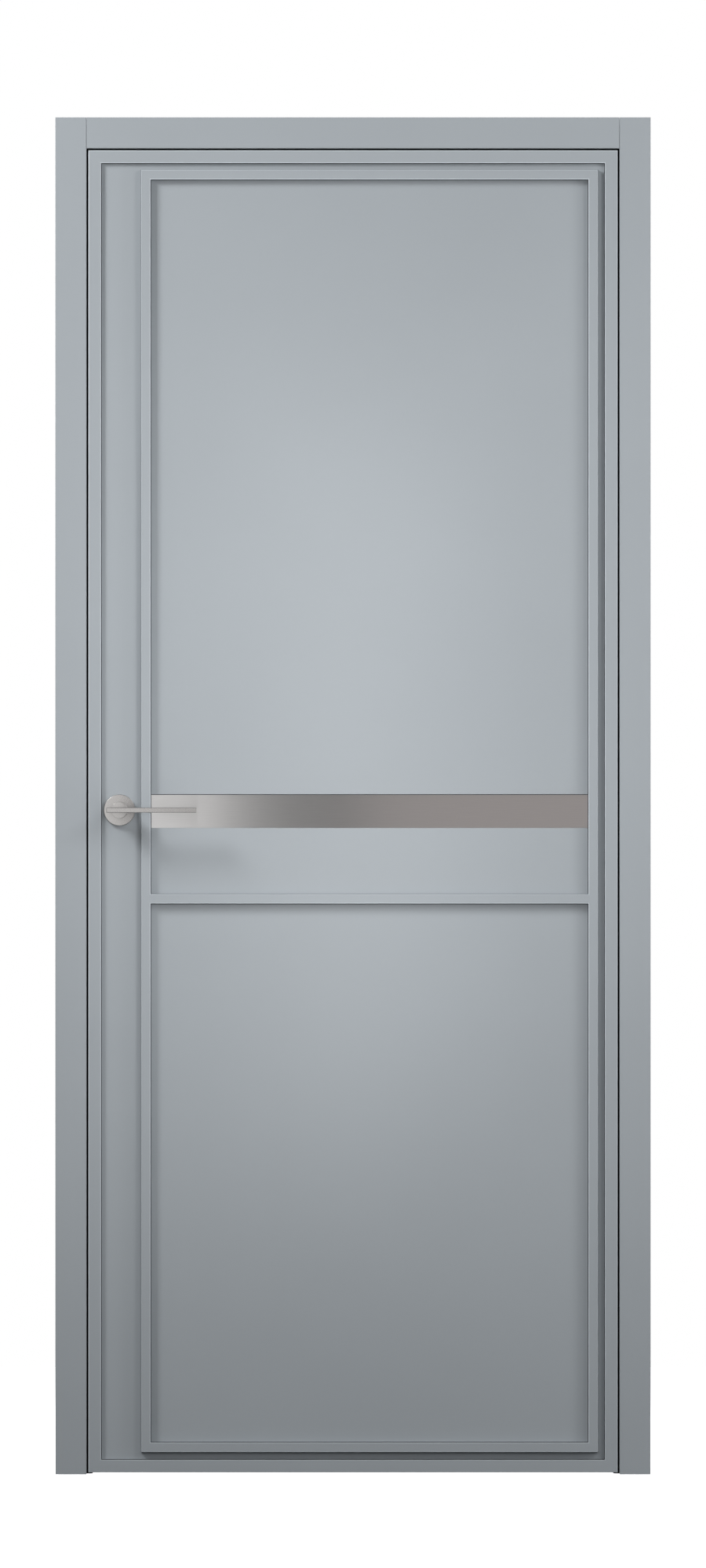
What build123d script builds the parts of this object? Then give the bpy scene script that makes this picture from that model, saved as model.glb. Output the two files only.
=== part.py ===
"""Flush interior door: a painted leaf with an offset slim frame and a metal inlay, hung on
concealed hinges in a rebated jamb with flat casings on both sides, and a lever handle set.

Millimetres, +Z up. X runs along the wall, the lock side at -X and the hinge side at +X. The face
that the door opens towards looks to -Y. The origin is on the wall face of the hinge jamb, at
floor level, in the middle of the jamb's depth.
"""

import math
import os

from build123d import *

# Driving sizes of the leaf, measured over its edge lipping
LEAF_WIDTH = 800.0
LEAF_HEIGHT = 2000.0
SLAB_THICKNESS = 32.0
FLOOR_GAP = 3.0
RUNNING_GAP = 3.0
EDGE_LIPPING = 1.2  # thin edge band on the leaf and the frame, left off these solids
LOCK_EDGE_BEVEL = 2.0

# Raised border round the leaf, and the slim frame planted inside it
BORDER_WIDTH = 18.0
BORDER_HEIGHT = 6.0
BAR_WIDTH = 14.4
BAR_HEIGHT = 10.0
BAR_SETBACK = 10.4  # from the border to the slim frame, at the top and on the hinge side
BOTTOM_SETBACK = 11.8
LOCK_SIDE_FIELD = 60.4  # from the border to the slim frame, beside the handle
MID_RAIL_TOP = 878.0
EDGE_CHAMFER = 1.2
QUIRK_WIDTH = 1.0  # shadow groove inside the border and the slim frame, under the rail and round the inlay
QUIRK_DEPTH = 1.2
BAR_JOINT = 0.4  # fine joint on the other side of the slim frame and the rail

# Metal inlay let into the face above the middle rail
INLAY_HEIGHT = 50.0
INLAY_BOTTOM = 978.0
INLAY_THICKNESS = 2.0
INLAY_SETBACK = 1.0
INLAY_FIT = 0.1

# Jambs, stops, seals and casings
JAMB_DEPTH = 100.0
JAMB_THICKNESS = 34.0
STOP_PROJECTION = 10.0
CASING_WIDTH = 47.0  # over its lipping
CASING_THICKNESS = 8.0
CASING_CHAMFER = 1.0
CASING_JOINT = 0.3
SEAL_WIDTH = 9.0
SEAL_THICKNESS = 3.0
SEAL_JOINT = 0.3

# Concealed hinges: a curved arm slides in a cup in the jamb and in a cup in the leaf
SWING = 110.0
HINGE_INSET = 220.0  # from the leaf's top and bottom to the outer hinges
PIVOT_STAND_OFF = 3.0  # the axis stands this far in front of the leaf's face
ARM_RADIUS = 32.0
ARM_THICKNESS = 6.0
ARM_HEIGHT = 60.0
ARM_GRIP = 4.0  # degrees of arm left in each cup when the leaf is wide open
ARM_FIT = 0.3
CUP_HEIGHT = 110.0
CUP_WALL = 1.0
CUP_CORNER = 8.0  # the router's radius in the corners of a cup

# Lock and strike
FOREND_WIDTH = 22.0
FOREND_HEIGHT = 200.0
FOREND_THICKNESS = 3.0
PLATE_CORNER = 9.0  # rounded ends of the forend and the strike plate
LATCH_WIDTH = 14.0
LATCH_HEIGHT = 30.0
LATCH_LENGTH = 22.0
LATCH_ABOVE_SPINDLE = 55.0
LATCH_FIT = 0.3
STRIKE_HEIGHT = 160.0
STRIKE_THICKNESS = 2.0
STRIKE_POCKET = 14.0

# Lever handles on a square spindle
HANDLE_HEIGHT = 1005.0
BACKSET = 47.0  # from the leaf's lock edge, over the lipping, to the spindle
ROSE_RADIUS = 23.6
ROSE_THICKNESS = 6.0
ROSE_CHAMFER = 0.8
NECK_RADIUS = 12.5
NECK_LENGTH = 43.0
NECK_FIT = 0.1
NECK_LIFT = 0.4  # clear space between the neck's back and the leaf
LEVER_TAIL = 19.3  # from the spindle to the lever's short end
LEVER_REACH = 116.6  # from the spindle to the lever's free end
LEVER_HEIGHT = 7.5
LEVER_DEPTH = 14.0
LEVER_CHAMFER = 0.6
SPINDLE_SIZE = 8.0
SPINDLE_SOCKET = 20.0
SPINDLE_FIT = 0.15
SPINDLE_HOLE_RADIUS = 9.0

# Places worked out from those sizes
SOLID_GAP = RUNNING_GAP + 2 * EDGE_LIPPING
FRONT_Y = -JAMB_DEPTH / 2 - CASING_THICKNESS  # plane of the casings and the leaf's border
SLAB_FRONT_Y = FRONT_Y + BORDER_HEIGHT
SLAB_BACK_Y = SLAB_FRONT_Y + SLAB_THICKNESS
LEAF_BACK_Y = SLAB_BACK_Y + BORDER_HEIGHT
STOP_Y = LEAF_BACK_Y + SOLID_GAP + SEAL_THICKNESS
BACK_Y = JAMB_DEPTH / 2

HINGE_REBATE_X = -JAMB_THICKNESS
LEAF_RIGHT_X = HINGE_REBATE_X - SOLID_GAP
LEAF_LEFT_X = LEAF_RIGHT_X - (LEAF_WIDTH - 2 * EDGE_LIPPING)
LOCK_REBATE_X = LEAF_LEFT_X - SOLID_GAP
LOCK_WALL_X = LOCK_REBATE_X - JAMB_THICKNESS

LEAF_BOTTOM_Z = FLOOR_GAP
LEAF_TOP_Z = LEAF_BOTTOM_Z + LEAF_HEIGHT - EDGE_LIPPING
HEAD_REBATE_Z = LEAF_TOP_Z + SOLID_GAP
HEAD_STOP_Z = HEAD_REBATE_Z - STOP_PROJECTION
FRAME_TOP_Z = HEAD_REBATE_Z + JAMB_THICKNESS
CASING_FACE = CASING_WIDTH - EDGE_LIPPING
CASING_TOP_Z = HEAD_REBATE_Z + CASING_FACE

PIVOT_X = (LEAF_RIGHT_X + HINGE_REBATE_X) / 2
PIVOT_Y = FRONT_Y - PIVOT_STAND_OFF
SPINDLE_X = LEAF_LEFT_X - EDGE_LIPPING + BACKSET


def block(x0, x1, y0, y1, z0, z1):
    """A box between two values on each axis."""
    centre = Pos((x0 + x1) / 2, (y0 + y1) / 2, (z0 + z1) / 2)
    return centre * Box(abs(x1 - x0), abs(y1 - y0), abs(z1 - z0))


def prism_y(points, y0, y1):
    """An outline in the XZ plane, carried from y0 to y1."""
    outline = make_face(Polyline(*[(x, y0, z) for x, z in points], close=True))
    return extrude(outline, amount=y1 - y0, dir=(0, 1, 0))


def prism_z(points, z0, z1):
    """An outline in the XY plane, carried from z0 to z1."""
    outline = make_face(Polyline(*[(x, y, z0) for x, y in points], close=True))
    return extrude(outline, amount=z1 - z0, dir=(0, 0, 1))


def edges_at(solid, axis, value):
    """The edges that lie wholly in the plane where the axis has that value."""
    return solid.edges().filter_by_position(axis, value - 1e-4, value + 1e-4)


def casing(x0, x1, z0, z1, wall_y, face_y, long_axis):
    """A flat casing board with its two long face edges eased."""
    board = block(x0, x1, wall_y, face_y, z0, z1)
    return chamfer(edges_at(board, Axis.Y, face_y).filter_by(long_axis), CASING_CHAMFER)


def drawn_in(rectangle, amount):
    """A rectangle, given as (x0, x1, z0, z1), with each of its sides moved inwards."""
    x0, x1, z0, z1 = rectangle
    return x0 + amount, x1 - amount, z0 + amount, z1 - amount


def rectangle_ring(outer, inner, y0, y1):
    """What lies between two rectangles, from y0 to y1."""
    whole, middle = (block(x0, x1, y0, y1, z0, z1) for x0, x1, z0, z1 in (outer, inner))
    return whole - middle


def corners_of(rectangle):
    """The rectangle's four corners by name."""
    x0, x1, z0, z1 = rectangle
    return {
        "left_bottom": (x0, z0),
        "left_top": (x0, z1),
        "right_bottom": (x1, z0),
        "right_top": (x1, z1),
    }


def mitred_frame(outer_rectangle, inner_rectangle, base_y, face_y):
    """A rectangular frame with eased face edges, cut on its mitres into four bars."""
    ring = rectangle_ring(outer_rectangle, inner_rectangle, base_y, face_y)
    ring = chamfer(edges_at(ring, Axis.Y, face_y), EDGE_CHAMFER)
    outer = corners_of(outer_rectangle)
    inner = corners_of(inner_rectangle)
    ends = {
        "left": ("left_bottom", "left_top"),
        "right": ("right_bottom", "right_top"),
        "top": ("left_top", "right_top"),
        "bottom": ("left_bottom", "right_bottom"),
    }
    bars = {}
    for side, (first, last) in ends.items():
        zone = [outer[first], inner[first], inner[last], outer[last]]
        bars[side] = ring & prism_y(zone, base_y, face_y)
    return bars


def arm_sector(radius_in, radius_out, angle_from, angle_to, z0, z1):
    """Part of a ring about the hinge axis. 90 degrees points straight back into the door."""
    centre = (PIVOT_X, PIVOT_Y, z0)
    sweep = angle_to - angle_from
    outer = CenterArc(centre, radius_out, angle_from, sweep)
    inner = CenterArc(centre, radius_in, angle_from, sweep)
    sides = [Line(inner @ 0, outer @ 0), Line(inner @ 1, outer @ 1)]
    return extrude(make_face([outer, inner, *sides]), amount=z1 - z0, dir=(0, 0, 1))


# Hinge sizes that follow from the arm and the swing
ARM_IN = ARM_RADIUS - ARM_THICKNESS / 2
ARM_OUT = ARM_RADIUS + ARM_THICKNESS / 2
MOUTH_ANGLE = math.degrees(math.asin(SOLID_GAP / 2 / ARM_IN))
ARM_HALF_ANGLE = SWING / 2 + MOUTH_ANGLE + ARM_GRIP
SLOT_HALF_ANGLE = ARM_HALF_ANGLE + math.degrees(ARM_FIT / ARM_IN)
CUP_DEPTH = (ARM_OUT + ARM_FIT) * math.sin(math.radians(SLOT_HALF_ANGLE)) - SOLID_GAP / 2 + CUP_WALL
CUP_FRONT_Y = PIVOT_Y + (ARM_IN - ARM_FIT) * math.cos(math.radians(SLOT_HALF_ANGLE)) - CUP_WALL
CUP_BACK_Y = PIVOT_Y + ARM_OUT + ARM_FIT + CUP_WALL
HINGE_HEIGHTS = (LEAF_BOTTOM_Z + HINGE_INSET, (LEAF_BOTTOM_Z + LEAF_TOP_Z) / 2, LEAF_TOP_Z - HINGE_INSET)


def hinge_mortise(face_x, direction, height):
    """The routed space of a hinge cup, let in from an edge at face_x towards +X or -X."""
    far_x = face_x + direction * CUP_DEPTH
    half = CUP_HEIGHT / 2
    space = block(face_x, far_x, CUP_FRONT_Y, CUP_BACK_Y, height - half, height + half)
    return fillet(space.edges().filter_by(Axis.X), CUP_CORNER)


def hinge_arm(height):
    """The curved arm of one hinge, half of it in each cup when the leaf is shut."""
    half = ARM_HEIGHT / 2
    return arm_sector(
        ARM_IN, ARM_OUT, 90 - ARM_HALF_ANGLE, 90 + ARM_HALF_ANGLE, height - half, height + half
    )


def hinge_slot(height):
    """The running space that both cups leave for the arm."""
    half = ARM_HEIGHT / 2 + ARM_FIT
    return arm_sector(
        ARM_IN - ARM_FIT,
        ARM_OUT + ARM_FIT,
        90 - SLOT_HALF_ANGLE,
        90 + SLOT_HALF_ANGLE,
        height - half,
        height + half,
    )


# Lock-edge parts sit square to the bevelled edge
LOCK_EDGE_ANGLE = math.degrees(math.atan2(LOCK_EDGE_BEVEL, SLAB_THICKNESS))
LOCK_EDGE_X = LEAF_LEFT_X + LOCK_EDGE_BEVEL / 2
SLAB_MIDDLE_Y = (SLAB_FRONT_Y + SLAB_BACK_Y) / 2
LATCH_Z = HANDLE_HEIGHT + LATCH_ABOVE_SPINDLE


def on_lock_edge(solid, z):
    """A solid that runs in from x = 0, set into the middle of the bevelled lock edge at that height."""
    return Pos(LOCK_EDGE_X, SLAB_MIDDLE_Y, z) * Rot(0, 0, -LOCK_EDGE_ANGLE) * solid


def forend_plate():
    """The lock's whole forend plate, with rounded corners."""
    half_width = FOREND_WIDTH / 2
    half_height = FOREND_HEIGHT / 2
    plate = block(0, FOREND_THICKNESS, -half_width, half_width, -half_height, half_height)
    return on_lock_edge(fillet(plate.edges().filter_by(Axis.X), PLATE_CORNER), HANDLE_HEIGHT)


def latch_block(fit):
    """The latch bolt, or with a fit the space that it runs in."""
    half_width = LATCH_WIDTH / 2 + fit
    half_height = LATCH_HEIGHT / 2 + fit
    bolt = block(0, LATCH_LENGTH + fit, -half_width, half_width, -half_height, half_height)
    return on_lock_edge(bolt, LATCH_Z)


# Slim frame and panel, as rectangles
SLIM_FRAME = (
    LEAF_LEFT_X + BORDER_WIDTH + LOCK_SIDE_FIELD,
    LEAF_RIGHT_X - BORDER_WIDTH - BAR_SETBACK,
    LEAF_BOTTOM_Z + EDGE_LIPPING + BORDER_WIDTH + BOTTOM_SETBACK,
    LEAF_TOP_Z - BORDER_WIDTH - BAR_SETBACK,
)
PANEL = drawn_in(SLIM_FRAME, BAR_WIDTH)
PANEL_LEFT_X, PANEL_RIGHT_X = PANEL[:2]


def border_rectangles(side):
    """Outside and inside of the border. Its bottom bar is wider by the lipping that the others get."""
    lock_x = LEAF_LEFT_X if side == "front" else LEAF_LEFT_X + LOCK_EDGE_BEVEL
    outer = (lock_x, LEAF_RIGHT_X, LEAF_BOTTOM_Z, LEAF_TOP_Z)
    x0, x1, z0, z1 = drawn_in(outer, BORDER_WIDTH)
    return outer, (x0, x1, z0 + EDGE_LIPPING, z1)


def housings(side):
    """What is cut from one face of the slab: a quirk along the border, and grooves for frame and rail."""
    surface_y = SLAB_FRONT_Y if side == "front" else SLAB_BACK_Y
    floor_y = surface_y + math.copysign(QUIRK_DEPTH, SLAB_MIDDLE_Y - surface_y)
    _, field = border_rectangles(side)
    border_quirk = rectangle_ring(field, drawn_in(field, QUIRK_WIDTH), surface_y, floor_y)
    frame_outside = drawn_in(SLIM_FRAME, -BAR_JOINT)
    frame_groove = rectangle_ring(frame_outside, drawn_in(PANEL, QUIRK_WIDTH), surface_y, floor_y)
    rail_groove = block(
        PANEL_LEFT_X,
        PANEL_RIGHT_X,
        surface_y,
        floor_y,
        MID_RAIL_TOP - BAR_WIDTH - QUIRK_WIDTH,
        MID_RAIL_TOP + BAR_JOINT,
    )
    return [border_quirk, frame_groove, rail_groove]


def make_slab():
    """The leaf's board: bevelled on the lock edge, and cut for its hinges, lock, inlays and bars."""
    outline = [
        (LEAF_LEFT_X, SLAB_FRONT_Y),
        (LEAF_RIGHT_X, SLAB_FRONT_Y),
        (LEAF_RIGHT_X, SLAB_BACK_Y),
        (LEAF_LEFT_X + LOCK_EDGE_BEVEL, SLAB_BACK_Y),
    ]
    slab = prism_z(outline, LEAF_BOTTOM_Z, LEAF_TOP_Z)
    for height in HINGE_HEIGHTS:
        slab -= hinge_mortise(LEAF_RIGHT_X, -1, height)
    slab -= forend_plate()
    slab -= latch_block(LATCH_FIT)
    spindle_hole = Rot(90, 0, 0) * Cylinder(SPINDLE_HOLE_RADIUS, 2 * SLAB_THICKNESS)
    slab -= Pos(SPINDLE_X, SLAB_MIDDLE_Y, HANDLE_HEIGHT) * spindle_hole
    inlay_depth = INLAY_THICKNESS + INLAY_SETBACK
    for face_y, inward in ((SLAB_FRONT_Y, 1), (SLAB_BACK_Y, -1)):
        slab -= block(
            PANEL_LEFT_X,
            PANEL_RIGHT_X,
            face_y,
            face_y + inward * inlay_depth,
            INLAY_BOTTOM - INLAY_FIT,
            INLAY_BOTTOM + INLAY_HEIGHT + QUIRK_WIDTH,
        )
    for side in ("front", "back"):
        for groove in housings(side):
            slab -= groove
    return slab


def make_face_parts(side):
    """Border, slim frame, middle rail and inlay of one face of the leaf."""
    outward = -1 if side == "front" else 1
    base_y = SLAB_FRONT_Y if side == "front" else SLAB_BACK_Y
    border_y = base_y + outward * BORDER_HEIGHT
    bar_y = base_y + outward * BAR_HEIGHT
    bar_foot_y = base_y - outward * QUIRK_DEPTH
    parts = {}
    border = mitred_frame(*border_rectangles(side), base_y, border_y)
    for place, bar in border.items():
        parts[f"{side}_border_{place}"] = bar
    slim = mitred_frame(SLIM_FRAME, PANEL, bar_foot_y, bar_y)
    for place, bar in slim.items():
        parts[f"{side}_slim_bar_{place}"] = bar
    rail = block(
        PANEL_LEFT_X - EDGE_CHAMFER,
        PANEL_RIGHT_X + EDGE_CHAMFER,
        bar_foot_y,
        bar_y,
        MID_RAIL_TOP - BAR_WIDTH,
        MID_RAIL_TOP,
    )
    rail = chamfer(edges_at(rail, Axis.Y, bar_y).filter_by(Axis.X), EDGE_CHAMFER)
    parts[f"{side}_middle_rail"] = rail - slim["left"] - slim["right"]
    inlay_y = base_y - outward * INLAY_SETBACK
    parts[f"{side}_metal_inlay"] = block(
        PANEL_LEFT_X + QUIRK_WIDTH,
        PANEL_RIGHT_X - QUIRK_WIDTH,
        inlay_y,
        inlay_y - outward * INLAY_THICKNESS,
        INLAY_BOTTOM,
        INLAY_BOTTOM + INLAY_HEIGHT,
    )
    return parts


def make_handle(side):
    """Rose, neck and lever bar of one face, on the spindle's line."""
    outward = -1 if side == "front" else 1
    base_y = SLAB_FRONT_Y if side == "front" else SLAB_BACK_Y
    centre = Pos(SPINDLE_X, base_y, HANDLE_HEIGHT) * Rot(90 * -outward, 0, 0)
    up = (Align.CENTER, Align.CENTER, Align.MIN)
    rose = Cylinder(ROSE_RADIUS, ROSE_THICKNESS, align=up)
    rose = chamfer(edges_at(rose, Axis.Z, ROSE_THICKNESS), ROSE_CHAMFER)
    rose -= Cylinder(NECK_RADIUS + NECK_FIT, ROSE_THICKNESS, align=up)
    neck = Pos(0, 0, NECK_LIFT) * Cylinder(NECK_RADIUS, NECK_LENGTH - NECK_LIFT, align=up)
    socket = SPINDLE_SIZE + 2 * SPINDLE_FIT
    neck -= Pos(0, 0, NECK_LIFT) * Box(socket, socket, SPINDLE_SOCKET, align=up)
    neck_y = base_y + outward * NECK_LENGTH
    lever_y = neck_y + outward * LEVER_DEPTH
    lever = block(
        SPINDLE_X - LEVER_TAIL,
        SPINDLE_X + LEVER_REACH,
        neck_y,
        lever_y,
        HANDLE_HEIGHT - LEVER_HEIGHT / 2,
        HANDLE_HEIGHT + LEVER_HEIGHT / 2,
    )
    lever = chamfer(edges_at(lever, Axis.Y, lever_y), LEVER_CHAMFER)
    return {f"{side}_rose": centre * rose, f"{side}_lever_neck": centre * neck, f"{side}_lever_bar": lever}


def make_spindle():
    """The square bar that turns both levers together."""
    half = SPINDLE_SIZE / 2
    reach = NECK_LIFT + SPINDLE_SOCKET - SPINDLE_FIT
    return block(
        SPINDLE_X - half,
        SPINDLE_X + half,
        SLAB_FRONT_Y - reach,
        SLAB_BACK_Y + reach,
        HANDLE_HEIGHT - half,
        HANDLE_HEIGHT + half,
    )


def make_lock():
    """Forend plate and latch bolt in the lock edge, the latch drawn back flush."""
    return {"lock_forend": forend_plate() - latch_block(LATCH_FIT), "latch_bolt": latch_block(0)}


def make_strike():
    """The strike plate, let in flush, and the latch pocket behind it."""
    half_width = FOREND_WIDTH / 2
    half_latch = LATCH_WIDTH / 2 + 2 * LATCH_FIT
    plate = block(
        LOCK_REBATE_X - STRIKE_THICKNESS,
        LOCK_REBATE_X,
        SLAB_MIDDLE_Y - half_width,
        SLAB_MIDDLE_Y + half_width,
        HANDLE_HEIGHT - STRIKE_HEIGHT / 2,
        HANDLE_HEIGHT + STRIKE_HEIGHT / 2,
    )
    plate = fillet(plate.edges().filter_by(Axis.X), PLATE_CORNER)
    pocket = block(
        LOCK_REBATE_X - STRIKE_POCKET,
        LOCK_REBATE_X,
        SLAB_MIDDLE_Y - half_latch,
        SLAB_MIDDLE_Y + half_latch,
        LATCH_Z - LATCH_HEIGHT / 2 - 2 * LATCH_FIT,
        LATCH_Z + LATCH_HEIGHT / 2 + 2 * LATCH_FIT,
    )
    return plate, pocket


def make_jambs():
    """Two rebated jambs and the rebated head between them."""
    strike_plate, strike_pocket = make_strike()
    hinge_jamb = block(HINGE_REBATE_X, 0, -BACK_Y, BACK_Y, 0, FRAME_TOP_Z)
    hinge_jamb += block(HINGE_REBATE_X - STOP_PROJECTION, HINGE_REBATE_X, STOP_Y, BACK_Y, 0, HEAD_STOP_Z)
    for height in HINGE_HEIGHTS:
        hinge_jamb -= hinge_mortise(HINGE_REBATE_X, 1, height)
    lock_jamb = block(LOCK_WALL_X, LOCK_REBATE_X, -BACK_Y, BACK_Y, 0, FRAME_TOP_Z)
    lock_jamb += block(LOCK_REBATE_X, LOCK_REBATE_X + STOP_PROJECTION, STOP_Y, BACK_Y, 0, HEAD_STOP_Z)
    lock_jamb -= strike_plate + strike_pocket
    head_jamb = block(LOCK_REBATE_X, HINGE_REBATE_X, -BACK_Y, BACK_Y, HEAD_REBATE_Z, FRAME_TOP_Z)
    head_jamb += block(LOCK_REBATE_X, HINGE_REBATE_X, STOP_Y, BACK_Y, HEAD_STOP_Z, HEAD_REBATE_Z)
    return {
        "hinge_jamb": hinge_jamb,
        "lock_jamb": lock_jamb,
        "head_jamb": head_jamb,
        "strike_plate": strike_plate - strike_pocket,
    }


def make_casings(side):
    """Two upright casings and the head casing butted between them."""
    wall_y = -BACK_Y if side == "front" else BACK_Y
    face_y = wall_y + math.copysign(CASING_THICKNESS, wall_y)
    uprights = {
        "hinge": (HINGE_REBATE_X, HINGE_REBATE_X + CASING_FACE),
        "lock": (LOCK_REBATE_X - CASING_FACE, LOCK_REBATE_X),
    }
    parts = {}
    for name, (x0, x1) in uprights.items():
        parts[f"{side}_casing_{name}_side"] = casing(x0, x1, 0, CASING_TOP_Z, wall_y, face_y, Axis.Z)
    parts[f"{side}_casing_head"] = casing(
        LOCK_REBATE_X + CASING_JOINT,
        HINGE_REBATE_X - CASING_JOINT,
        HEAD_REBATE_Z,
        CASING_TOP_Z,
        wall_y,
        face_y,
        Axis.X,
    )
    return parts


def make_seals():
    """The soft black strips on the face of the stops, eased towards the leaf."""
    low_y = STOP_Y - SEAL_THICKNESS
    ease = SEAL_THICKNESS / 2
    lock_x = LOCK_REBATE_X + STOP_PROJECTION
    hinge_x = HINGE_REBATE_X - STOP_PROJECTION
    strips = []
    for x0, x1 in ((lock_x - SEAL_WIDTH, lock_x), (hinge_x, hinge_x + SEAL_WIDTH)):
        strip = block(x0, x1, low_y, STOP_Y, 0, HEAD_STOP_Z - SEAL_JOINT)
        strips.append(chamfer(edges_at(strip, Axis.Y, low_y).filter_by(Axis.Z), ease))
    left_x, right_x = lock_x - SEAL_WIDTH, hinge_x + SEAL_WIDTH
    strip = block(left_x, right_x, low_y, STOP_Y, HEAD_STOP_Z, HEAD_STOP_Z + SEAL_WIDTH)
    strips.append(chamfer(edges_at(strip, Axis.Y, low_y).filter_by(Axis.X), ease))
    return {"stop_seals": Compound(strips)}


def make_hinges():
    """Three hinges, each a cup in the jamb, a cup in the leaf and the arm between them."""
    heights = HINGE_HEIGHTS
    return {
        "hinge_jamb_cups": Compound([hinge_mortise(HINGE_REBATE_X, 1, z) - hinge_slot(z) for z in heights]),
        "hinge_leaf_cups": Compound([hinge_mortise(LEAF_RIGHT_X, -1, z) - hinge_slot(z) for z in heights]),
        "hinge_arms": Compound([hinge_arm(z) for z in heights]),
    }


def main():
    parts = {"leaf_slab": make_slab(), "spindle": make_spindle()}
    parts.update(make_jambs())
    parts.update(make_seals())
    parts.update(make_hinges())
    parts.update(make_lock())
    for side in ("front", "back"):
        parts.update(make_casings(side))
        parts.update(make_face_parts(side))
        parts.update(make_handle(side))
    os.makedirs("parts", exist_ok=True)
    for name, solid in parts.items():
        export_step(solid, f"parts/{name}.step")


main()
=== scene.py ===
import math

import bmesh
import bpy
import numpy as np
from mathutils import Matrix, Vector


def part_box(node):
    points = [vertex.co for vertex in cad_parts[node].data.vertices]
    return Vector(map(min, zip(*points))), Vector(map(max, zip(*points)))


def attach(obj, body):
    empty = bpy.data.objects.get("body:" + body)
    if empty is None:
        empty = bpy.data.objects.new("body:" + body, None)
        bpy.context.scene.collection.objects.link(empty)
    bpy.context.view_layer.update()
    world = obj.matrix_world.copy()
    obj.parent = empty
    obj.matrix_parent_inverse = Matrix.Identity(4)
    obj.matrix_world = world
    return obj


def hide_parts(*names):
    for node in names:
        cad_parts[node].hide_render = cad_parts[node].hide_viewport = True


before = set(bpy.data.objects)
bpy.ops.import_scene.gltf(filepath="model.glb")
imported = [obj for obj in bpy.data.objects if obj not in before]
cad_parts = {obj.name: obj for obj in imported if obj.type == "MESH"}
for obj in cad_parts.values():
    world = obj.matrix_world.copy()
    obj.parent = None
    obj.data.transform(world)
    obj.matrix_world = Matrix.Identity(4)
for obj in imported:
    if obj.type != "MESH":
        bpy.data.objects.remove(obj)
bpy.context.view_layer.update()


# Jambs: two uprights and a head of solid board, each milled with a rebate and a stop, glued at the corners.
# They are sprayed grey in several satin coats, which leave the faint, even ripple of a spray gun.
PAINT_GREY = (0.331, 0.359, 0.383)
PAINT_ROUGHNESS = 0.46
PAINT_SPECULAR = 0.4
CLOUD_PER_METRE = 2.2
CLOUD_SPREAD = 0.025
SHEEN_PER_METRE = 14.0
SHEEN_SPREAD = 0.05
RIPPLE_PER_METRE = 850.0
RIPPLE_HEIGHT = 0.000016
# Painted highlight: the paint is this many times lighter on the arrises that a piece marks.
ARRIS_HIGHLIGHT_BRIGHTNESS = 2.0
# Painted shade: how dark the paint is on the floors of the grooves.
GROOVE_SHADE_BRIGHTNESS = 0.18
FLOOR_TOLERANCE = 0.00005
NOISE_LOW = 0.3
NOISE_HIGH = 0.7


def new_finish(name):
    """An empty node material, with its tree and its Principled shader."""
    finish = bpy.data.materials.new(name)
    finish.use_nodes = True
    return finish, finish.node_tree, finish.node_tree.nodes["Principled BSDF"]


def noise_at(tree, per_metre, detail, stretch=(1.0, 1.0, 1.0)):
    """Noise on Object coordinates, with that many features to the metre.
    Stretch divides them along x, y and z."""
    where = tree.nodes.new("ShaderNodeTexCoord")
    scaled = tree.nodes.new("ShaderNodeMapping")
    scaled.inputs["Scale"].default_value = [per_metre / share for share in stretch]
    noise = tree.nodes.new("ShaderNodeTexNoise")
    noise.inputs["Scale"].default_value = 1.0
    noise.inputs["Detail"].default_value = detail
    tree.links.new(where.outputs["Object"], scaled.inputs["Vector"])
    tree.links.new(scaled.outputs["Vector"], noise.inputs["Vector"])
    return noise.outputs["Fac"]


def vary_colour(tree, noise, socket, colour, spread):
    """The noise takes the colour down and up by the spread, as a share of it."""
    ramp = tree.nodes.new("ShaderNodeValToRGB")
    low, high = ramp.color_ramp.elements
    low.position = NOISE_LOW
    high.position = NOISE_HIGH
    low.color = (*(part * (1 - spread) for part in colour), 1.0)
    high.color = (*(part * (1 + spread) for part in colour), 1.0)
    tree.links.new(noise, ramp.inputs["Fac"])
    tree.links.new(ramp.outputs["Color"], socket)


def vary_value(tree, noise, socket, middle, spread):
    """The noise takes the value from middle - spread to middle + spread."""
    span = tree.nodes.new("ShaderNodeMapRange")
    span.inputs["From Min"].default_value = NOISE_LOW
    span.inputs["From Max"].default_value = NOISE_HIGH
    span.inputs["To Min"].default_value = middle - spread
    span.inputs["To Max"].default_value = middle + spread
    tree.links.new(noise, span.inputs["Value"])
    tree.links.new(span.outputs["Result"], socket)


def raise_relief(tree, noise, shader, height):
    """The noise raises the surface by up to the height, in metres."""
    relief = tree.nodes.new("ShaderNodeBump")
    relief.inputs["Strength"].default_value = 1.0
    relief.inputs["Distance"].default_value = height
    tree.links.new(noise, relief.inputs["Height"])
    tree.links.new(relief.outputs["Normal"], shader.inputs["Normal"])


def scale_brightness(tree, mask, socket, factor):
    """Multiplies a colour's brightness by the factor where the mask is 1.
    The socket takes the result, and what is given back is the socket for the colour itself."""
    amount = tree.nodes.new("ShaderNodeMapRange")
    amount.inputs["To Min"].default_value = 1.0
    amount.inputs["To Max"].default_value = factor
    scaled = tree.nodes.new("ShaderNodeHueSaturation")
    tree.links.new(mask, amount.inputs["Value"])
    tree.links.new(amount.outputs["Result"], scaled.inputs["Value"])
    tree.links.new(scaled.outputs["Color"], socket)
    return scaled.inputs["Color"]


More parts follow.
